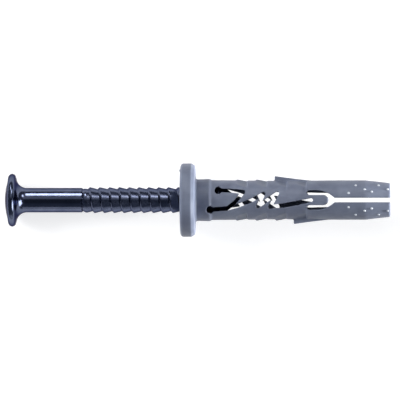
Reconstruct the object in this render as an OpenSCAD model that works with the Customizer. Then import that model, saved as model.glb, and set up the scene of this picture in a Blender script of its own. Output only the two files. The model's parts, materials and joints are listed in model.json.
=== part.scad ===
// Hammer fixing plug: a moulded sleeve with a threaded drive nail set in its mouth.
// It lies on its side, resting on the rims of the nail head and of the flange.
// Places along the plug are measured from the flange's bearing face, towards the tip.

/* [Sleeve] */
// Diameter of the sleeve's body, for the drilled hole
body_d = 7.9; // [7.4:0.1:9]
// Length of the sleeve below the bearing face
sleeve_len = 39; // [36:0.1:50]
// Step from the body up to the collar, on the radius
collar_step = 0.29; // [0.1:0.05:0.6]
// Draft of the collar, on the radius
collar_draft = 0.08; // [0.02:0.02:0.1]
// Length of the collar below the bearing face
collar_len = 2.9; // [2:0.1:3.6]
// Length of the sloping shoulder from the collar to the body
shoulder_len = 0.5; // [0.2:0.1:0.9]
// Growth of the body beside the collar, on the radius
root_rise = 0.06; // [0.02:0.02:0.1]
// Hollow of the body's waist, on the radius
waist_dip = 0.09; // [0.02:0.01:0.15]
// Place of the waist
waist_at = 17; // [12:0.5:22]
// Length of the tapered nose
nose_len = 5; // [3:0.1:6]
// Narrowing of the nose, on the radius
nose_draft = 0.52; // [0.2:0.02:0.8]
// Rounding of the nose's end
nose_round = 0.3; // [0.1:0.05:0.5]

/* [Flange] */
// Diameter of the flange
flange_d = 14.7; // [13.6:0.1:20]
// Thickness of the flange
flange_t = 2.9; // [2.4:0.1:5]
// Rounding of the flange's top edge
flange_round = 0.6; // [0.2:0.05:0.8]
// Height of the chamfer beside the bearing face
chamfer_h = 0.7; // [0.2:0.05:1]
// Width of the chamfer beside the bearing face
chamfer_w = 0.45; // [0.2:0.05:1]
// Fillet between the bearing face and the collar
collar_fillet = 0.6; // [0.2:0.05:1]
// Diameter of the moulding gate's nub
gate_d = 0.6; // [0.4:0.05:0.8]
// Height of the moulding gate's nub
gate_h = 0.7; // [0.2:0.05:0.8]
// Angle of that nub from the parting line
gate_turn = 20; // [0:1:40]

/* [Bore] */
// Radial play between the nail's thread and the bore, at the nail's point
nail_play = 0.06; // [0.03:0.01:0.15]
// Radial play between the nail's thread and the bore, at the mouth
mouth_play = 0.16; // [0.15:0.01:0.25]
// Radius of the guide bore where it begins
guide_r = 1.7; // [1.5:0.05:1.9]
// Radius of the guide bore at the tip
guide_end_r = 1.4; // [1.1:0.05:1.5]
// Length of the funnel from the wide bore to the guide bore
funnel_len = 3; // [2:0.1:5]

/* [Zigzag slot] */
// Width of the slots
slot_w = 0.72; // [0.5:0.02:0.9]
// Width of the upper starting slot
start_slot_w = 0.72; // [0.6:0.02:0.9]
// Width of the lower starting slot
lower_slot_w = 0.86; // [0.6:0.02:1]
// Width of the slot at the upper turn
turn_slot_w = 0.8; // [0.7:0.02:1]
// Width of the last slot
last_slot_w = 0.86; // [0.6:0.02:1]
// Diameter of the two holes that the zigzag starts from
slot_hole_d = 1.46; // [1.2:0.02:1.6]
// Distance of those holes from the axis
hole_offset = 1.93; // [1.6:0.05:2.2]
// Place of the lower hole
lower_hole_at = 3.06; // [2.6:0.02:3.5]
// Place of the upper hole
upper_hole_at = 4.7; // [4.2:0.02:5.2]
// Drop of the upper starting slot towards the axis
start_drop = 0.06; // [0:0.02:0.2]
// Place where the two starting slots join
join_at = 6.5; // [6:0.1:7]
// Depth of the join below the axis
join_h = 1.65; // [1.4:0.05:1.9]
// Reach of the upper slot past the join
upper_reach = 3.2; // [2.8:0.1:3.6]
// Height of the upper turn above the axis
upper_turn_h = 1.6; // [1.3:0.05:1.8]
// Sag of the slot from the upper turn to the join
turn_sag = 0.4; // [0.2:0.02:0.5]
// Reach of the second slot's bend past the join
knee_reach = 2.3; // [2:0.05:2.6]
// Depth of that bend below the axis
knee_h = 1.08; // [0.9:0.02:1.2]
// Reach of the second slot past the join
second_reach = 7.25; // [6.8:0.05:7.6]
// Sag of the second slot from its bend to the first turn
second_sag = 0.2; // [0.1:0.02:0.3]
// Step back of the first turn
first_back = 1.1; // [0.8:0.05:1.4]
// Reach of the third slot
third_reach = 3.85; // [3.4:0.05:4.2]
// Step back of the second turn
second_back = 1.45; // [1:0.05:1.8]
// Reach of the last slot
last_reach = 8.2; // [7:0.05:8.4]
// Height of the first turns above and below the axis
first_turn_h = 1.26; // [1.1:0.02:1.5]
// Height of the later turns above and below the axis
turn_h = 1.36; // [1.1:0.02:1.6]
// Lift of the tongue's free corner above the body
tongue_lift = 0.5; // [0.2:0.05:0.6]
// Lift of the crease where the tongue bends
crease_lift = 0.14; // [0.02:0.02:0.2]
// Length of the lifted tongue
tongue_len = 5.4; // [4:0.1:6]
// Half thickness of the wall left between facing slots
slot_floor = 0.35; // [0.2:0.05:0.6]

/* [Legs] */
// Width of the slot between the legs
leg_slot_w = 0.88; // [0.6:0.02:1.4]
// Place of the fork where the leg slot begins
fork_at = 27.9; // [27.4:0.1:28.5]
// Length of the fork
fork_len = 5.5; // [4.6:0.1:5.8]
// Half width of the fork
fork_half = 1.92; // [1.7:0.02:2.1]
// Width of the fork's two branches
branch_w = 0.9; // [0.6:0.02:1]
// Length of the fork's curved throat
throat_len = 3.4; // [2.4:0.1:3.8]
// Gap between the tongue's end and the fork's end
tongue_gap = 1.3; // [0.8:0.05:1.8]

/* [Teeth] */
// Number of tooth rows
tooth_rows = 4; // [2:1:4]
// Place of the first tooth row
tooth_at = 8.26; // [7.5:0.02:9]
// Distance between tooth rows
tooth_pitch = 3.93; // [3.2:0.01:4]
// Length of a tooth
tooth_len = 2.27; // [1.6:0.01:2.6]
// Height of a tooth's edge above the body
tooth_h = 0.2; // [0.1:0.02:0.4]
// Width of a tooth's ridge along the parting line
ridge_w = 1.8; // [1:0.1:2.4]
// Angle of a tooth's flats from the parting line
flat_angle = 23; // [18:1:28]
// Depth of the flats at the high end of a tooth
flat_start = 0.08; // [0.02:0.01:0.12]
// Depth of the flats at the low end of a tooth
flat_end = 0.5; // [0.2:0.05:0.7]
// Angle of the shallow side flats from the parting line
cheek_angle = 52; // [48:1:56]
// Depth of the side flats at the low end of the first teeth
cheek_depth = 0.08; // [0.04:0.01:0.15]
// Depth of the side flats at the low end of the teeth beside the wings
wing_cheek_depth = 0.17; // [0.12:0.01:0.25]

/* [Wings] */
// Height of the wings above the body
wing_h = 0.86; // [0.5:0.02:1.2]
// Thickness of the wings
wing_t = 1.1; // [0.7:0.05:1.6]
// Length of the wings
wing_len = 8.8; // [6:0.1:9]
// Place of the upper wing
upper_wing_at = 15.9; // [15:0.1:17]
// Distance from the upper wing to the lower wing, along the plug
wing_stagger = 3.8; // [2:0.1:4]

/* [Nail] */
// Length of the nail over its head
nail_len = 47; // [45:0.5:50]
// Height of the nail's head above the bearing face
nail_stand = 38.1; // [37:0.1:40]
// Diameter of the plain shank
shank_d = 4.9; // [4.2:0.02:5.1]
// Length of the plain shank with the head
shank_len = 15.5; // [12:0.1:20]
// Diameter of the head
head_d = 10.6; // [9.6:0.02:11]
// Radius of the dome on the head
dome_r = 13; // [12:0.1:25]
// Rounding of the head's rim
rim_round = 0.75; // [0.5:0.01:0.9]
// Depth of the rim's middle below the top of the dome
rim_depth = 1.45; // [1.35:0.02:1.7]
// Angle between the head's underside and the axis
head_angle = 75; // [60:1:80]
// Radius of the fillet under the head
neck_r = 2.1; // [1.5:0.02:2.6]
// Included angle of the point
point_angle = 75; // [50:1:90]
// Diameter of the point's blunt end
point_d = 0.5; // [0.3:0.05:0.8]

/* [Thread] */
// Distance between the thread's turns
thread_pitch = 1.96; // [1.6:0.02:2.2]
// Height of the crest above the plain shank
crest_rise = 0.16; // [0.1:0.01:0.25]
// Depth of the thread
thread_depth = 0.38; // [0.3:0.01:0.5]
// Length of the steep flank, which faces the head
steep_len = 0.4; // [0.2:0.02:0.6]
// Angle at which the thread starts
thread_phase = 244; // [0:1:359]

/* [Cross recess] */
// Diameter of the recess at the head's top
recess_d = 5; // [4:0.1:6]
// Diameter of the recess at its bottom
recess_end_d = 2; // [1.4:0.1:2.6]
// Depth of the recess
recess_depth = 2.6; // [2:0.1:3]
// Width of the recess's arms
recess_arm_w = 1.1; // [0.8:0.05:1.4]

/* [Hidden] */
$fn = 64;

arc_steps = 8;
wing_steps = 8;
wing_curve = 1.25;
wing_dip = 0.15;
last_steps = 3;
last_curve = 1.4;
rim_start = -80;
point_turns = 1.5;
thread_facets = 24;
overcut = 1;
seam = 0.05;
ease = 0.01;

body_r = body_d / 2;
collar_r = body_r + collar_step;
collar_root_r = collar_r - collar_draft;
flange_r = flange_d / 2;
nose_end_r = body_r - nose_draft;
legs_at = upper_wing_at + wing_stagger + wing_len + seam;

shank_r = shank_d / 2;
crest_r = shank_r + crest_rise;
root_r = crest_r - thread_depth;
bore_r = crest_r + nail_play;
mouth_bore_r = crest_r + mouth_play;
head_top = -nail_stand;
point_at = nail_len - nail_stand;
point_len = (root_r - point_d / 2) / tan(point_angle / 2);
thread_from = head_top + shank_len;
thread_to = point_at - point_len;
run_out = thread_pitch / 2;

// The rim of the head is an arc. The underside runs from it to the fillet on the shank.
rim_r = head_d / 2 - rim_round;
under_r = rim_r + rim_round * cos(head_angle);
under_depth = rim_depth + rim_round * sin(head_angle);
neck_depth = under_depth + (under_r - shank_r) / tan(head_angle) + neck_r * tan(head_angle / 2);

// The mouth of the sleeve follows the underside of the head, wider by the gap round the shank
mouth_gap = mouth_bore_r - shank_r;
mouth_r = under_r + mouth_gap;
mouth_shift = -flange_t - under_depth;

// At rest both rims touch the floor, which leans from the axis by this angle
rim_apart = flange_round - flange_t - head_top - rim_depth;
rim_rise = flange_r - flange_round - rim_r;
rest_tilt = acos((rim_round - flange_round) / norm([rim_apart, rim_rise])) - atan2(rim_apart, rim_rise);

// The floor touches the lowest points of both rims, and the origin lies under the plug's middle
floor_drop = flange_round + (flange_t - flange_round) * sin(rest_tilt)
    + (flange_r - flange_round) * cos(rest_tilt);
head_reach = (head_top + dome_r) * cos(rest_tilt) - dome_r;
nose_reach = nose_round + (sleeve_len - nose_round) * cos(rest_tilt)
    + (nose_end_r - nose_round) * sin(rest_tilt);

// Turning points of the zigzag: place, height above the axis, width
upper_turn_at = join_at + upper_reach;
knee_at = join_at + knee_reach;
second_at = join_at + second_reach;
third_at = second_at - first_back + third_reach;
last_at = third_at - second_back;
upper_slot = [
    [upper_hole_at, hole_offset, start_slot_w],
    [(upper_hole_at + upper_turn_at) / 2, hole_offset - start_drop, start_slot_w],
    [upper_turn_at, upper_turn_h, turn_slot_w],
    [(upper_turn_at + join_at) / 2, (upper_turn_h - join_h) / 2 - turn_sag, slot_w],
    [join_at, -join_h, slot_w],
];
last_slot = [for (i = [1:last_steps])
    let(t = i / last_steps, w = i < last_steps ? last_slot_w : slot_w)
        [last_at + last_reach * t, -turn_h * (1 - pow(t, last_curve)), w]];
main_slot = concat([
    [lower_hole_at, -hole_offset, lower_slot_w],
    [join_at, -join_h, lower_slot_w],
    [knee_at, -knee_h, slot_w],
    [(knee_at + second_at) / 2, (first_turn_h - knee_h) / 2 - second_sag, slot_w],
    [second_at, first_turn_h, slot_w],
    [second_at - first_back, -first_turn_h, slot_w],
    [third_at, turn_h, slot_w],
    [last_at, -turn_h, slot_w],
], last_slot);

function arc(centre, r, from, to) =
    [for (i = [0:arc_steps]) let(a = from + (to - from) * i / arc_steps) centre + r * [cos(a), sin(a)]];

// Fillet from the underside of the head to the shank, as radius and depth below the dome's top
function neck_arc(gap) = arc([shank_r + neck_r, neck_depth], neck_r - gap, 180 + head_angle, 180);

function moved(points, shift) = [for (p = points) p + [0, shift]];

// The seam of each turned shape lies on the parting line, clear of the floor
module revolved(outline) {
    rotate([90, 0, 90])
        rotate_extrude()
            polygon(outline);
}

module lying() {
    translate([-(head_reach + nose_reach) / 2, 0, floor_drop])
        rotate([0, -rest_tilt, 0])
            children();
}

// Nail: head, shank, thread and point

module nail_blank() {
    dome_edge = rim_r - rim_round / 2;
    dome = [for (i = [1:arc_steps])
        let(r = dome_edge * i / arc_steps) [r, dome_r - sqrt(dome_r * dome_r - r * r)]];
    rim = arc([rim_r, rim_depth], rim_round, rim_start, head_angle);
    revolved(concat(
        [[0, thread_from], [0, head_top]],
        moved(concat(dome, rim, neck_arc(0)), head_top),
        [[shank_r, thread_from]]
    ));
}

module nail_point() {
    plain_from = thread_to - point_turns * thread_pitch;
    revolved([
        [0, plain_from], [root_r + seam, plain_from], [root_r + seam, thread_to],
        [point_d / 2, point_at], [0, point_at],
    ]);
}

// The thread is one closed body: a root line and a crest line wind round the axis together.
// Its first turn lies inside the shank and its last inside the point.
function crest_at(s) =
    let(from_end = min(s - thread_from, thread_to - s))
        root_r + thread_depth * min(1, max(seam, from_end / run_out));

function wound(r, step, s) =
    let(a = thread_phase + 360 * step / thread_facets) [r * cos(a), r * sin(a), s];

module nail_thread() {
    n = thread_facets;
    turns = floor((thread_to - thread_from) / thread_pitch) + 1;
    steps = turns * n;
    start = thread_from - thread_pitch;
    function lead(i) = start + thread_pitch * i / n;
    function crest(i) = steps + 1 + i;
    roots = [for (i = [0:steps]) wound(root_r, i, lead(i))];
    crests = [for (i = [0:steps - n]) wound(crest_at(lead(i) + steep_len), i, lead(i) + steep_len)];
    ends = [[0, 0, lead(0)], [0, 0, lead(steps)]];
    first = len(roots) + len(crests);
    last = first + 1;
    flanks = [for (i = [0:steps - n - 1]) each [
        [crest(i), crest(i + 1), i + 1], [crest(i), i + 1, i],
        [i + n, i + n + 1, crest(i + 1)], [i + n, crest(i + 1), crest(i)],
    ]];
    caps = [for (i = [0:n - 1]) each [
        [first, i, i + 1], [last, steps - n + i + 1, steps - n + i],
    ]];
    walls = [
        [n, crest(0), 0], [n, 0, first],
        [steps - n, crest(steps - n), steps], [steps - n, steps, last],
    ];
    rotate([0, 90, 0])
        polyhedron(concat(roots, crests, ends), concat(flanks, caps, walls));
}

module cross_recess() {
    rotate([0, 90, 0])
        intersection() {
            translate([0, 0, head_top])
                cylinder(h = recess_depth, d1 = recess_d, d2 = recess_end_d);
            for (turn = [0, 90])
                rotate([0, 0, turn])
                    translate([-recess_d / 2, -recess_arm_w / 2, head_top - overcut])
                        cube([recess_d, recess_arm_w, recess_depth + 2 * overcut]);
        }
}

module nail_screw() {
    color("slategray")
        lying()
            difference() {
                union() {
                    nail_blank();
                    nail_thread();
                    nail_point();
                }
                cross_recess();
            }
}

// Sleeve: flange, collar, body and nose in one moulding

module sleeve_blank() {
    revolved(concat(
        [[0, sleeve_len], [0, -flange_t]],
        arc([flange_r - flange_round, flange_round - flange_t], flange_round, -90, 0),
        [[flange_r, -chamfer_h], [flange_r - chamfer_w, 0]],
        arc([collar_root_r + collar_fillet, collar_fillet], collar_fillet, 270, 180),
        [[collar_r, collar_len], [body_r + root_rise, collar_len + shoulder_len]],
        [[body_r - waist_dip, waist_at], [body_r, legs_at], [body_r, sleeve_len - nose_len]],
        arc([nose_end_r - nose_round, sleeve_len - nose_round], nose_round, 0, 90)
    ));
}

module bore() {
    revolved(concat(
        [[0, sleeve_len + overcut], [0, -flange_t - overcut]],
        [[mouth_r + overcut * tan(head_angle), -flange_t - overcut]],
        moved(neck_arc(mouth_gap), mouth_shift),
        [[bore_r, point_at], [guide_r, point_at + funnel_len]],
        [[guide_end_r, fork_at], [guide_end_r, sleeve_len + overcut]]
    ));
}

module gate_nub() {
    rotate([gate_turn, 0, 0])
        translate([-flange_t - gate_h, flange_r - flange_round - gate_d, 0])
            rotate([0, 90, 0])
                cylinder(h = gate_h + flange_round, d = gate_d);
}

module strip(a, b) {
    along = [b[0] - a[0], b[1] - a[1]];
    across = [-along[1], along[0]] / norm(along);
    p = [a[0], a[1]];
    q = [b[0], b[1]];
    polygon([p + across * a[2] / 2, q + across * b[2] / 2, q - across * b[2] / 2, p - across * a[2] / 2]);
}

module slot(path) {
    for (p = path)
        translate([p[0], p[1]])
            circle(d = p[2] + ease);
    for (i = [1:len(path) - 1])
        strip(path[i - 1], path[i]);
    translate([path[0][0], path[0][1]])
        circle(d = slot_hole_d);
}

module fork() {
    leg_half = leg_slot_w / 2;
    tongue_half = fork_half - branch_w;
    branch_from = fork_at - fork_len + branch_w / 2;
    tongue_to = fork_at - tongue_gap - tongue_half;
    edge = concat([[branch_from, fork_half]], [for (i = [0:arc_steps])
        let(t = i / arc_steps)
            [fork_at + throat_len * (t - 1), leg_half + (fork_half - leg_half) * (1 - t * t)]]);
    difference() {
        union() {
            for (side = [0, 1])
                mirror([0, side]) {
                    polygon(concat(edge, [[fork_at, -seam], [branch_from, -seam]]));
                    translate([branch_from, fork_half - branch_w / 2])
                        circle(d = branch_w + ease);
                }
        }
        translate([branch_from - branch_w, -tongue_half])
            square([tongue_to - branch_from + branch_w, 2 * tongue_half]);
        translate([tongue_to, 0])
            circle(r = tongue_half + ease);
    }
}

// The tongue beside the last slot is bent outwards along a crease, and its free corner stands up
module tongue() {
    root = (guide_r + body_r) / 2;
    skin = body_r - waist_dip;
    crease_h = turn_h - slot_w / 2;
    corners = [[last_at, -turn_h], [third_at + tongue_len, 0], [third_at, crease_h]];
    tops = [skin + tongue_lift, skin, sqrt(skin * skin - crease_h * crease_h) + crease_lift];
    points = [for (i = [0:5]) [corners[i % 3][0], corners[i % 3][1], i < 3 ? root : tops[i - 3]]];
    polyhedron(points, [[0, 1, 2], [3, 5, 4], [0, 3, 4, 1], [1, 4, 5, 2], [2, 5, 3, 0]]);
}

// The same slots open on both sides, turned half round the axis
module slots() {
    for (turn = [0, 180])
        rotate([turn, 0, 0])
            translate([0, 0, slot_floor])
                linear_extrude(body_r + overcut) {
                    slot(upper_slot);
                    slot(main_slot);
                    fork();
                }
    translate([fork_at - seam, -leg_slot_w / 2, -body_r - overcut])
        cube([sleeve_len - fork_at + overcut, leg_slot_w, 2 * (body_r + overcut)]);
}

module tooth_ridges() {
    for (row = [0:tooth_rows - 1])
        translate([tooth_at + row * tooth_pitch, 0, 0])
            intersection() {
                rotate([0, 90, 0])
                    cylinder(h = tooth_len, r1 = body_r + tooth_h, r2 = body_r - waist_dip - seam);
                translate([0, -2 * body_r, -ridge_w / 2])
                    cube([tooth_len, 4 * body_r, ridge_w]);
            }
}

// One pair of flats on each side of a tooth row, deeper towards the tip
module flats(row, angle, high, low) {
    outside = body_r + tooth_h + overcut;
    for (side = [0, 180], lean = [-angle, angle])
        translate([tooth_at + row * tooth_pitch, 0, 0])
            rotate([side + lean, 0, 0])
                linear_extrude(body_d, center = true)
                    polygon([[0, high], [tooth_len, low], [tooth_len, outside], [0, outside]]);
}

module tooth_flats() {
    for (row = [0:tooth_rows - 1]) {
        beside_wing = tooth_at + row * tooth_pitch + tooth_len > upper_wing_at;
        flats(row, flat_angle, body_r - flat_start, body_r - flat_end);
        flats(row, cheek_angle, body_r, body_r - (beside_wing ? wing_cheek_depth : cheek_depth));
    }
}

module wing(from) {
    rise = wing_h + wing_dip;
    edge = [for (i = [0:wing_steps])
        let(t = i / wing_steps) [from + wing_len * t, body_r - wing_dip + rise * pow(1 - t, wing_curve)]];
    linear_extrude(wing_t, center = true)
        polygon(concat(edge, [[from + wing_len, bore_r + wing_dip], [from, bore_r + wing_dip]]));
}

module wings() {
    wing(upper_wing_at);
    rotate([180, 0, 0])
        wing(upper_wing_at + wing_stagger);
}

module expansion_sleeve() {
    color("lightslategray")
        lying()
            difference() {
                union() {
                    difference() {
                        union() {
                            sleeve_blank();
                            tooth_ridges();
                        }
                        tooth_flats();
                    }
                    wings();
                    gate_nub();
                    for (turn = [0, 180])
                        rotate([turn, 0, 0])
                            tongue();
                }
                bore();
                slots();
            }
}

nail_screw();
expansion_sleeve();
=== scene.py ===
import json
import math

import bmesh
import bpy
from mathutils import Matrix, Vector


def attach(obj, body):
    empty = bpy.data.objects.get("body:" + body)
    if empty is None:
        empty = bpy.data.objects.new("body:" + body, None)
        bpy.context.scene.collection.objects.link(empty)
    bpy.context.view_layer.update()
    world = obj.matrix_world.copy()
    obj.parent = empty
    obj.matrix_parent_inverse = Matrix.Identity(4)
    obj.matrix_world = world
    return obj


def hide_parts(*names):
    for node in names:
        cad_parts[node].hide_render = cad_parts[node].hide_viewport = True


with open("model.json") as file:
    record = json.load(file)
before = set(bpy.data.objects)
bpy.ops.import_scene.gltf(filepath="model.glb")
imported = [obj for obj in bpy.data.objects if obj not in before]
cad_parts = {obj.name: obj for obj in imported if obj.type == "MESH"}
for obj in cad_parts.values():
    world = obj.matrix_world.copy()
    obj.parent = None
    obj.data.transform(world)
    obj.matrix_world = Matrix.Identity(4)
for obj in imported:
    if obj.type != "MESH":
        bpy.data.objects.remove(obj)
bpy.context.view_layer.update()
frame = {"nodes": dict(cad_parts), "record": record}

scene = bpy.context.scene
mm = 0.001

# The plug's own axes: X from the nail head to the tip, measured from the flange's bearing face
seat = next(m for m in frame["record"]["mounts"] if m["name"] == "flange_seat")
alongPlug = Vector(seat["axis"]).normalized()
acrossPlug = Vector((0, 1, 0))
upPlug = alongPlug.cross(acrossPlug)
lie = Matrix((alongPlug, acrossPlug, upPlug)).transposed().to_4x4()
lie.translation = Vector(seat["pos_m"])
plugToRoom = lie @ Matrix.Scale(mm, 4)
print("frame loaded")


# Small helpers

def newPiece(name, mesh):
    piece = bpy.data.objects.new(name, mesh)
    scene.collection.objects.link(piece)
    return piece


def settle(piece):
    # Turns what the modifiers show into a plain mesh
    shown = piece.evaluated_get(bpy.context.evaluated_depsgraph_get())
    mesh = bpy.data.meshes.new_from_object(shown)
    piece.modifiers.clear()
    piece.data = mesh
    return mesh


def meshFrom(name, points, faces):
    mesh = bpy.data.meshes.new(name)
    mesh.from_pydata(points, [], faces)
    mesh.validate()
    return mesh


def srgb(r, g, b):
    return [((c / 255 + 0.055) / 1.055) ** 2.4 for c in (r, g, b)] + [1]


def arc(centre, radius, start, end, steps=12):
    turns = [math.radians(start + (end - start) * i / steps) for i in range(steps + 1)]
    return [(centre[0] + radius * math.sin(a), centre[1] + radius * math.cos(a)) for a in turns]


class Tree:
    # Short way to add and wire nodes in a group or a material

    def __init__(self, nodes):
        self.tree = nodes

    def add(self, kind, inputs=None, **settings):
        node = self.tree.nodes.new(kind)
        for key, value in settings.items():
            setattr(node, key, value)
        for key, value in (inputs or {}).items():
            self.feed(node.inputs[key], value)
        return node

    def feed(self, socket, value):
        if isinstance(value, bpy.types.NodeSocket):
            self.tree.links.new(value, socket)
        else:
            socket.default_value = value

    def calc(self, operation, *values):
        node = self.add("ShaderNodeMath", operation=operation)
        for socket, value in zip(node.inputs, values):
            self.feed(socket, value)
        return node.outputs[0]


def shapeTree(name, sizes):
    # A Geometry Nodes tree with a mesh in, a mesh out and one named input for each size
    group = bpy.data.node_groups.new(name, "GeometryNodeTree")
    group.interface.new_socket("Geometry", in_out="INPUT", socket_type="NodeSocketGeometry")
    for size, value in sizes.items():
        kind = "NodeSocketInt" if isinstance(value, int) else "NodeSocketFloat"
        group.interface.new_socket(size, in_out="INPUT", socket_type=kind)
    group.interface.new_socket("Material", in_out="INPUT", socket_type="NodeSocketMaterial")
    group.interface.new_socket("Geometry", in_out="OUTPUT", socket_type="NodeSocketGeometry")
    tree = Tree(group)
    tree.given = tree.add("NodeGroupInput").outputs
    tree.result = tree.add("NodeGroupOutput")
    return tree


def grow(piece, tree, sizes, material):
    # Runs a tree on a piece and keeps its result as a plain mesh
    modifier = piece.modifiers.new(tree.tree.name, "NODES")
    modifier.node_group = tree.tree
    for item in tree.tree.interface.items_tree:
        if item.in_out == "INPUT" and item.name in sizes:
            modifier[item.identifier] = sizes[item.name]
        if item.in_out == "INPUT" and item.name == "Material":
            modifier[item.identifier] = material
    return settle(piece)


# Finishes

noise = {
    "patchDetail": 3.0,
    "patchRough": 0.55,
    "grainDetail": 2.0,
    "grainRough": 0.6,
    "low": 0.3,            # what the noise mostly keeps between
    "high": 0.7,
}


def mottleGroup():
    # Uneven tone and fine grain, shared by the nylon and the steel
    group = bpy.data.node_groups.new("unevenTone", "ShaderNodeTree")
    for name, kind in (("Vector", "NodeSocketVector"), ("Patch Scale", "NodeSocketFloat"),
                       ("Grain Scale", "NodeSocketFloat"), ("Seed", "NodeSocketFloat")):
        group.interface.new_socket(name, in_out="INPUT", socket_type=kind)
    for name in ("Patches", "Grain"):
        group.interface.new_socket(name, in_out="OUTPUT", socket_type="NodeSocketFloat")
    tree = Tree(group)
    given = tree.add("NodeGroupInput").outputs
    result = tree.add("NodeGroupOutput")
    patches = tree.add("ShaderNodeTexNoise", {"Vector": given["Vector"], "Scale": given["Patch Scale"],
                                              "W": given["Seed"], "Detail": noise["patchDetail"],
                                              "Roughness": noise["patchRough"]},
                       noise_dimensions="4D")
    grain = tree.add("ShaderNodeTexNoise", {"Vector": given["Vector"], "Scale": given["Grain Scale"],
                                            "W": given["Seed"], "Detail": noise["grainDetail"],
                                            "Roughness": noise["grainRough"]},
                     noise_dimensions="4D")
    tree.feed(result.inputs["Patches"], patches.outputs["Fac"])
    tree.feed(result.inputs["Grain"], grain.outputs["Fac"])
    return group


unevenTone = mottleGroup()

nylonLook = {
    "deep": srgb(100, 106, 125),
    "pale": srgb(122, 130, 148),
    "roughLow": 0.42,
    "roughHigh": 0.52,
    "patchScale": 260.0,   # per metre
    "grainScale": 5200.0,
    "bump": 0.12,
    "bumpDepth": 0.02,     # mm
    "ior": 1.5,
    "seed": 1.7,
}

# The same nylon, a little smoother, with a pale colour that is a painted highlight on the dots
dotHighlightLook = dict(nylonLook, deep=srgb(206, 212, 220), pale=srgb(222, 226, 232),
               roughLow=0.32, roughHigh=0.38, patchScale=900.0, seed=2.6)

steelLook = {
    "deep": srgb(84, 91, 112),
    "pale": srgb(102, 108, 128),
    "edge": (0.26, 0.245, 0.28, 1),  # tint of what is seen at a shallow angle
    "roughLow": 0.14,
    "roughHigh": 0.22,
    "threadRough": 0.05,   # added on the rolled thread
    "threadBlend": 0.3,    # mm to each side of where the thread starts
    "patchScale": 420.0,
    "grainScale": 2600.0,
    "bump": 0.06,
    "bumpDepth": 0.01,
    "seed": 4.2,
}


def newFinish(name):
    material = bpy.data.materials.new(name)
    material.use_nodes = True
    tree = Tree(material.node_tree)
    skin = material.node_tree.nodes["Principled BSDF"]
    place = tree.add("ShaderNodeTexCoord").outputs["Object"]
    return material, tree, skin, place


def ramp(tree, value, low, high, lowOut, highOut):
    node = tree.add("ShaderNodeMapRange", {"Value": value, "From Min": low, "From Max": high,
                                           "To Min": lowOut, "To Max": highOut})
    return node.outputs["Result"]


def blendColours(tree, share, first, second):
    # A Mix node holds a set of sockets for each kind of data: 6, 7 and 2 are those for colours
    node = tree.add("ShaderNodeMix", data_type="RGBA")
    for index, value in ((0, share), (6, first), (7, second)):
        tree.feed(node.inputs[index], value)
    return node.outputs[2]


def mottledSkin(tree, skin, place, look):
    # Sets tone and bump from the look, and gives back the roughness
    tone = tree.add("ShaderNodeGroup", node_tree=unevenTone)
    for key, value in (("Vector", place), ("Patch Scale", look["patchScale"]),
                       ("Grain Scale", look["grainScale"]), ("Seed", look["seed"])):
        tree.feed(tone.inputs[key], value)
    share = ramp(tree, tone.outputs["Patches"], noise["low"], noise["high"], 0.0, 1.0)
    tree.feed(skin.inputs["Base Color"], blendColours(tree, share, look["deep"], look["pale"]))
    bump = tree.add("ShaderNodeBump", {"Height": tone.outputs["Grain"], "Strength": look["bump"],
                                       "Distance": look["bumpDepth"] * mm})
    tree.feed(skin.inputs["Normal"], bump.outputs["Normal"])
    return ramp(tree, tone.outputs["Grain"], noise["low"], noise["high"],
                look["roughLow"], look["roughHigh"])


def nylonFinish(name, look):
    material, tree, skin, place = newFinish(name)
    tree.feed(skin.inputs["Roughness"], mottledSkin(tree, skin, place, look))
    skin.inputs["IOR"].default_value = look["ior"]
    return material


def steelFinish(name, look, threadAt):
    material, tree, skin, place = newFinish(name)
    rough = mottledSkin(tree, skin, place, look)
    along = tree.add("ShaderNodeSeparateXYZ", {"Vector": place}).outputs["X"]
    blend = look["threadBlend"] * mm
    rolled = ramp(tree, along, threadAt - blend, threadAt + blend, 0.0, look["threadRough"])
    tree.feed(skin.inputs["Roughness"], tree.calc("ADD", rough, rolled))
    skin.inputs["Specular Tint"].default_value = look["edge"]
    skin.inputs["Metallic"].default_value = 1.0
    return material


sleeveNylon = nylonFinish("sleeveNylon", nylonLook)
# The dots' finish is a painted highlight: pale colour where light catches them
dotHighlightNylon = nylonFinish("dotHighlightNylon", dotHighlightLook)
print("nylon finishes made")


# Sleeve: the moulding with every edge softened a little

sleeve = {
    "weld": 0.0005,        # mm
    "voxel": 0.11,
    "smoothing": 0.5,
    "passes": 4,
    "triangles": 190000,
}


def softSleeve():
    mesh = frame["nodes"]["expansion_sleeve"].data.copy()
    mesh.materials.clear()
    mesh.transform(plugToRoom.inverted())
    shell = bmesh.new()
    shell.from_mesh(mesh)
    bmesh.ops.remove_doubles(shell, verts=shell.verts, dist=sleeve["weld"])
    shell.to_mesh(mesh)
    shell.free()
    piece = newPiece("sleeve", mesh)
    remesh = piece.modifiers.new("remesh", "REMESH")
    remesh.mode = "VOXEL"
    remesh.voxel_size = sleeve["voxel"]
    smooth = piece.modifiers.new("smooth", "SMOOTH")
    smooth.factor = sleeve["smoothing"]
    smooth.iterations = sleeve["passes"]
    settle(piece)
    count = sum(len(p.vertices) - 2 for p in piece.data.polygons)
    thin = piece.modifiers.new("thin", "DECIMATE")
    thin.ratio = min(1.0, sleeve["triangles"] / count)
    mesh = settle(piece)
    mesh.transform(plugToRoom)
    mesh.shade_smooth()
    mesh.materials.clear()
    mesh.materials.append(sleeveNylon)
    print("sleeve", count, "triangles, thinned to", sum(len(p.vertices) - 2 for p in mesh.polygons))
    return piece


sleevePiece = softSleeve()
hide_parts("expansion_sleeve")
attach(sleevePiece, "root")


# Moulded dots on the legs: three to a group, two groups, mirrored to both legs and both sides

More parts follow.
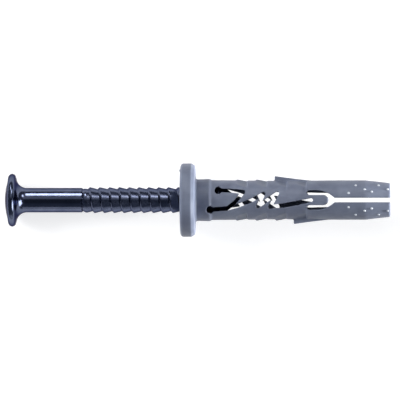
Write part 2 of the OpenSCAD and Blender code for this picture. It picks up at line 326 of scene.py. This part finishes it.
dots = {
    "firstAt": 30.7,
    "groupPitch": 4.6,
    "groups": 2,
    "offsets": (0, 1.4, 3.2),
    "angles": (21, 48, 33),        # from the face that shows the slots
    "spread": 5,                   # further round on the second group, where the nose narrows
    "bodyRadius": 3.95,
    "noseAt": 34.0,
    "noseLength": 5.0,
    "noseDrop": 0.52,              # lost in radius over that length
    "diameter": 0.46,
    "height": 0.09,
    "segments": 16,
    "rings": 10,
}


def dotTree():
    tree = shapeTree("legDots", {"Diameter": 0.0, "Height": 0.0})
    outward = tree.add("GeometryNodeInputNamedAttribute", {"Name": "outward"}, data_type="FLOAT_VECTOR")
    turn = tree.add("FunctionNodeAlignRotationToVector", {"Vector": outward.outputs["Attribute"]}, axis="Z")
    ball = tree.add("GeometryNodeMeshUVSphere", {"Segments": dots["segments"], "Rings": dots["rings"],
                                                 "Radius": 0.5})
    size = tree.add("ShaderNodeCombineXYZ", {"X": tree.given["Diameter"], "Y": tree.given["Diameter"],
                                             "Z": tree.calc("MULTIPLY", tree.given["Height"], 2.0)})
    spread = tree.add("GeometryNodeInstanceOnPoints", {
        "Points": tree.given["Geometry"], "Instance": ball.outputs["Mesh"],
        "Rotation": turn.outputs["Rotation"], "Scale": size.outputs["Vector"]})
    real = tree.add("GeometryNodeRealizeInstances", {"Geometry": spread.outputs["Instances"]})
    soft = tree.add("GeometryNodeSetShadeSmooth", {"Geometry": real.outputs["Geometry"]})
    dressed = tree.add("GeometryNodeSetMaterial", {"Geometry": soft.outputs["Geometry"],
                                                   "Material": tree.given["Material"]})
    tree.feed(tree.result.inputs["Geometry"], dressed.outputs["Geometry"])
    return tree


def legDots():
    places, outward = [], []
    for group in range(dots["groups"]):
        for offset, angle in zip(dots["offsets"], dots["angles"]):
            at = dots["firstAt"] + group * dots["groupPitch"] + offset
            narrowing = dots["noseDrop"] / dots["noseLength"] * max(0, at - dots["noseAt"])
            radius = dots["bodyRadius"] - narrowing
            for side in (0, 180):
                for lean in (angle, -angle):
                    turn = math.radians(side + lean + group * math.copysign(dots["spread"], lean))
                    out = Vector((0, math.sin(turn), math.cos(turn)))
                    places.append(Vector((at, 0, 0)) + radius * out)
                    outward.append(out)
    mesh = meshFrom("legDots", places, [])
    direction = mesh.attributes.new("outward", "FLOAT_VECTOR", "POINT")
    direction.data.foreach_set("vector", [c for out in outward for c in out])
    piece = newPiece("leg_dots", mesh)
    mesh = grow(piece, dotTree(), {"Diameter": dots["diameter"], "Height": dots["height"]}, dotHighlightNylon)
    mesh.transform(plugToRoom)
    return piece


dotPiece = legDots()
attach(dotPiece, "root")
print("sleeve done")


# Nail: a turned head and shank, with the thread wound on by a tree
# The cross recess of the CAD's nail is not made here, so the head is a plain dome

nail = {
    "stand": 38.1,         # mm from the bearing face to the top of the head
    "length": 47.0,
    "shankRadius": 2.45,
    "shankLength": 15.5,
    "headRadius": 5.3,
    "domeRadius": 13.0,
    "rimRound": 0.75,
    "rimDepth": 1.45,
    "rimFrom": 170,        # degrees at which the rim's rounding meets the dome
    "headAngle": 75,
    "neckRadius": 2.1,
    "pitch": 1.96,
    "crestRise": 0.16,
    "threadDepth": 0.38,
    "steepLength": 0.4,
    "crestSoftness": 0.12,
    "runOutTurns": 0.5,
    "spareTurns": 3,       # wound past both ends and clipped there
    "phase": 244,
    "pointAngle": 75,
    "pointRadius": 0.25,
    "sides": 96,
    "rowsPerTurn": 20,
    "domeSteps": 12,
    "neckSteps": 16,
    "shankSteps": 24,
    "weld": 0.002,
    "sliver": 0.0005,
    "seamSlack": 0.001,
    "sharpAngle": 50,
}


def turned(outline):
    # Turns an outline of (radius, place) pairs about the plug's axis
    n = nail["sides"]
    points, rings = [], []
    for radius, at in outline:
        if radius == 0:
            rings.append([len(points)] * n)
            points.append((at, 0, 0))
            continue
        ring = []
        for i in range(n):
            a = math.radians(nail["phase"] + 360 * i / n)
            ring.append(len(points))
            points.append((at, radius * math.sin(a), -radius * math.cos(a)))
        rings.append(ring)
    faces = []
    for low, high in zip(rings, rings[1:]):
        for i in range(n):
            j = (i + 1) % n
            corners = [low[i], low[j], high[j], high[i]]
            faces.append(list(dict.fromkeys(corners)))
    return points, faces


def headOutline():
    rim = nail["headRadius"] - nail["rimRound"]
    edge = rim - nail["rimRound"] / 2
    bend = math.radians(nail["headAngle"])
    underRadius = rim + nail["rimRound"] * math.cos(bend)
    underDepth = nail["rimDepth"] + nail["rimRound"] * math.sin(bend)
    neckDepth = (underDepth + (underRadius - nail["shankRadius"]) / math.tan(bend)
                 + nail["neckRadius"] * math.tan(bend / 2))
    dome = []
    for i in range(nail["domeSteps"] + 1):
        r = edge * i / nail["domeSteps"]
        dome.append((r, nail["domeRadius"] - math.sqrt(nail["domeRadius"] ** 2 - r * r)))
    rimArc = arc((rim, nail["rimDepth"]), nail["rimRound"], nail["rimFrom"], 90 - nail["headAngle"])
    neck = arc((nail["shankRadius"] + nail["neckRadius"], neckDepth), nail["neckRadius"],
               270 - nail["headAngle"], 270, nail["neckSteps"])
    return [(r, d - nail["stand"]) for r, d in dome + rimArc + neck]


def threadTree():
    sizes = {"From": 0.0, "Wound From": 0.0, "To": 0.0, "Pitch": 0.0, "Shank Radius": 0.0,
             "Root Radius": 0.0, "Thread Depth": 0.0, "Steep Share": 0.0, "Point Slope": 0.0,
             "Point Radius": 0.0, "Phase": 0.0, "Sides": 0, "Rows": 0, "Turns": 0}
    tree = shapeTree("windThread", sizes)
    given, calc = tree.given, tree.calc
    sheet = tree.add("GeometryNodeMeshGrid", {
        "Size X": 1.0, "Size Y": 1.0, "Vertices X": calc("ADD", given["Sides"], 1.0),
        "Vertices Y": calc("ADD", calc("MULTIPLY", given["Rows"], given["Turns"]), 1.0)})
    place = tree.add("ShaderNodeSeparateXYZ", {"Vector": tree.add("GeometryNodeInputPosition").outputs[0]})
    around = calc("ADD", place.outputs["X"], 0.5)
    wound = calc("MULTIPLY", calc("ADD", place.outputs["Y"], 0.5), given["Turns"])
    start = calc("SUBTRACT", given["Wound From"], given["Pitch"])
    lead = calc("MULTIPLY_ADD", given["Pitch"], calc("ADD", wound, calc("SUBTRACT", around, 1.0)), start)
    at = calc("MINIMUM", calc("MAXIMUM", lead, given["From"]), given["To"])
    # Saw-shaped wave: steep towards the head, long towards the point
    wave = calc("FRACT", wound)
    rise = calc("DIVIDE", wave, given["Steep Share"])
    fall = calc("DIVIDE", calc("SUBTRACT", 1.0, wave), calc("SUBTRACT", 1.0, given["Steep Share"]))
    crest = calc("MAXIMUM", calc("SMOOTH_MIN", rise, fall, nail["crestSoftness"]), 0.0)
    runOut = calc("MULTIPLY", given["Pitch"], nail["runOutTurns"])
    inFrom = calc("DIVIDE", calc("SUBTRACT", at, given["Wound From"]), runOut)
    inTo = calc("DIVIDE", calc("SUBTRACT", given["To"], at), runOut)
    fade = calc("MINIMUM", calc("MAXIMUM", calc("MINIMUM", inFrom, inTo), 0.0), 1.0)
    height = calc("MULTIPLY", calc("MULTIPLY", crest, given["Thread Depth"]), fade)
    threaded = calc("ADD", given["Root Radius"], height)
    onShank = calc("LESS_THAN", at, calc("ADD", given["Wound From"], nail["seamSlack"]))
    plain = calc("MULTIPLY", given["Shank Radius"], onShank)
    radius = calc("MAXIMUM", threaded, plain)
    toTip = calc("SUBTRACT", given["To"], at)
    point = calc("MULTIPLY_ADD", toTip, given["Point Slope"], given["Point Radius"])
    radius = calc("MINIMUM", radius, point)
    turn = calc("MULTIPLY_ADD", around, math.tau, given["Phase"])
    spot = tree.add("ShaderNodeCombineXYZ", {
        "X": at, "Y": calc("MULTIPLY", radius, calc("SINE", turn)),
        "Z": calc("MULTIPLY", radius, calc("MULTIPLY", calc("COSINE", turn), -1.0))})
    shaped = tree.add("GeometryNodeSetPosition", {"Geometry": sheet.outputs["Mesh"],
                                                  "Position": spot.outputs[0]})
    both = tree.add("GeometryNodeJoinGeometry")
    tree.feed(both.inputs["Geometry"], given["Geometry"])
    tree.feed(both.inputs["Geometry"], shaped.outputs["Geometry"])
    merged = tree.add("GeometryNodeMergeByDistance", {"Geometry": both.outputs["Geometry"],
                                                      "Distance": nail["weld"]})
    real = tree.add("GeometryNodeRealizeInstances", {"Geometry": merged.outputs["Geometry"]})
    dressed = tree.add("GeometryNodeSetMaterial", {"Geometry": real.outputs["Geometry"],
                                                   "Material": given["Material"]})
    tree.feed(tree.result.inputs["Geometry"], dressed.outputs["Geometry"])
    return tree


def driveNail():
    crestRadius = nail["shankRadius"] + nail["crestRise"]
    rootRadius = crestRadius - nail["threadDepth"]
    woundFrom = nail["shankLength"] - nail["stand"]
    tip = nail["length"] - nail["stand"]
    slope = math.tan(math.radians(nail["pointAngle"] / 2))
    shankEnd = woundFrom - nail["pitch"] / 2
    head = headOutline()
    neckEnd, steps = head[-1][1], nail["shankSteps"]
    shank = [(nail["shankRadius"], neckEnd + (shankEnd - neckEnd) * i / steps) for i in range(1, steps + 1)]
    piece = newPiece("nail", meshFrom("nail", *turned(head + shank)))
    sizes = {"From": shankEnd, "Wound From": woundFrom, "To": tip, "Pitch": nail["pitch"],
             "Shank Radius": nail["shankRadius"], "Root Radius": rootRadius,
             "Thread Depth": nail["threadDepth"], "Steep Share": nail["steepLength"] / nail["pitch"],
             "Point Slope": slope, "Point Radius": nail["pointRadius"], "Phase": math.radians(nail["phase"]),
             "Sides": nail["sides"], "Rows": nail["rowsPerTurn"],
             "Turns": math.ceil((tip - woundFrom) / nail["pitch"]) + nail["spareTurns"]}
    mesh = grow(piece, threadTree(), sizes, nailSteel)
    shell = bmesh.new()
    shell.from_mesh(mesh)
    bmesh.ops.dissolve_degenerate(shell, edges=shell.edges, dist=nail["sliver"])
    bmesh.ops.holes_fill(shell, edges=[e for e in shell.edges if e.is_boundary])
    bmesh.ops.recalc_face_normals(shell, faces=shell.faces)
    shell.to_mesh(mesh)
    shell.free()
    mesh.transform(plugToRoom)
    mesh.shade_smooth()
    mesh.set_sharp_from_angle(angle=math.radians(nail["sharpAngle"]))
    mesh.materials.clear()
    mesh.materials.append(nailSteel)
    print("nail", len(mesh.polygons), "faces")
    return piece


threadAt = seat["pos_m"][0] + (nail["shankLength"] - nail["stand"]) * mm
nailSteel = steelFinish("nailSteel", steelLook, threadAt)
nailPiece = driveNail()
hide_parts("nail_screw")
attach(nailPiece, "root")
print("nail done")


# Floor, light and camera

studio = {
    "floorSize": 6.0,
    "floorColour": (0.5, 0.5, 0.51, 1),    # what lights the plug from below
    "floorGlow": 0.72,     # plain white that the camera and reflections see
    "veilColour": (0.46, 0.46, 0.46, 1),   # adds to that white and keeps the shadow
    "worldColour": (0.62, 0.74, 1.0, 1),
    "worldLow": 0.15,
    "worldHigh": 0.07,     # round the camera, which metal shows as a dark stripe
    "darkWay": (0, -0.16, 0.987),
    "darkFrom": 0.86,      # cosine of the angle from that way
    "darkTo": 0.97,
}

# Degrees round and up from the plug, distance, width, height, power, and the kind of surface lit
lamps = {
    "topStrip": (100, 34, 0.6, 0.1, 0.2, 0.62, "glossy"),
    "topCard": (90, 60, 0.6, 0.6, 0.4, 0.27, "glossy"),
    "lowCard": (-90, 12, 0.6, 0.6, 0.2, 0.26, "glossy"),
    "rightStrip": (-20, 28, 0.6, 0.3, 0.4, 3.0, "glossy"),
    "threadStrip": (53, 42, 0.6, 0.16, 0.2, 0.6, "glossy"),
    "topSoft": (112, 62, 0.6, 0.6, 0.6, 1.1, "diffuse"),
    "leftSoft": (160, 31, 0.6, 0.3, 0.3, 3.2, "diffuse"),
    "lowSoft": (-108, 34, 0.6, 0.6, 0.4, 0.55, "diffuse"),
    "rightKey": (0, 4.0, 0.6, 0.06, 0.04, 11.0, "diffuse"),
}

camera = {
    "frameWidth": 80.0,    # mm across the picture at the plug's axis
    "distance": 1000.0,
    "centreAlong": 0.97,
    "centreAcross": 0.02,
    "towardsTip": 2.0,     # degrees from square on to the plug
    "roll": -0.03,
    "nearest": 0.01,       # m
    "furthest": 20,
}


def floorFinish():
    material = bpy.data.materials.new("floor")
    material.use_nodes = True
    tree = Tree(material.node_tree)
    material.node_tree.nodes.remove(material.node_tree.nodes["Principled BSDF"])
    path = tree.add("ShaderNodeLightPath")
    seen = tree.calc("MAXIMUM", path.outputs["Is Camera Ray"], path.outputs["Is Glossy Ray"])
    seen = tree.calc("MAXIMUM", seen, path.outputs["Is Transmission Ray"])
    matt = tree.add("ShaderNodeBsdfDiffuse", {"Color": studio["floorColour"]})
    white = tree.add("ShaderNodeEmission", {"Color": (1, 1, 1, 1), "Strength": studio["floorGlow"]})
    veil = tree.add("ShaderNodeBsdfDiffuse", {"Color": studio["veilColour"]})
    bright = tree.add("ShaderNodeAddShader", {0: white.outputs[0], 1: veil.outputs[0]})
    mix = tree.add("ShaderNodeMixShader", {0: seen, 1: matt.outputs[0], 2: bright.outputs[0]})
    out = material.node_tree.nodes["Material Output"]
    tree.feed(out.inputs["Surface"], mix.outputs[0])
    return material


def addFloor():
    half = studio["floorSize"] / 2
    corners = [(-half, -half, 0), (half, -half, 0), (half, half, 0), (-half, half, 0)]
    floor = newPiece("floor", meshFrom("floor", corners, [(0, 1, 2, 3)]))
    floor.data.materials.append(floorFinish())


def addWorld():
    world = bpy.data.worlds.new("studio")
    world.use_nodes = True
    scene.world = world
    tree = Tree(world.node_tree)
    back = world.node_tree.nodes["Background"]
    direction = tree.add("ShaderNodeTexCoord").outputs["Generated"]
    near = tree.add("ShaderNodeVectorMath", {0: direction, 1: studio["darkWay"]}, operation="DOT_PRODUCT")
    level = ramp(tree, near.outputs["Value"], studio["darkFrom"], studio["darkTo"],
                 studio["worldLow"], studio["worldHigh"])
    tree.feed(back.inputs["Strength"], level)
    back.inputs["Color"].default_value = studio["worldColour"]


def addLamp(name, turn, up, distance, width, height, power, surface):
    data = bpy.data.lights.new(name, "AREA")
    data.shape = "RECTANGLE"
    data.size = width
    data.size_y = height
    data.energy = power
    lamp = bpy.data.objects.new(name, data)
    a, e = math.radians(turn), math.radians(up)
    way = Vector((math.cos(a) * math.cos(e), math.sin(a) * math.cos(e), math.sin(e)))
    lamp.location = way * distance
    lamp.rotation_euler = way.to_track_quat("Z", "Y").to_euler()
    lamp.visible_diffuse = surface == "diffuse"
    lamp.visible_glossy = surface == "glossy"
    scene.collection.objects.link(lamp)


def addCamera():
    data = bpy.data.cameras.new("camera")
    data.lens = data.sensor_width * camera["distance"] / camera["frameWidth"]
    data.clip_start, data.clip_end = camera["nearest"], camera["furthest"]
    view = bpy.data.objects.new("camera", data)
    spot = plugToRoom @ Vector((camera["centreAlong"], camera["centreAcross"], 0))
    lean = Matrix.Rotation(math.radians(camera["towardsTip"]), 4, "Y")
    roll = Matrix.Rotation(math.radians(camera["roll"]), 4, "Z")
    back = Matrix.Translation((0, 0, camera["distance"] * mm))
    view.matrix_world = Matrix.Translation(spot) @ lie.to_3x3().to_4x4() @ lean @ roll @ back
    scene.collection.objects.link(view)
    scene.camera = view


addFloor()
addWorld()
for name, settings in lamps.items():
    addLamp(name, *settings)
addCamera()
scene.view_settings.view_transform = "Standard"
print("floor, light and camera set")
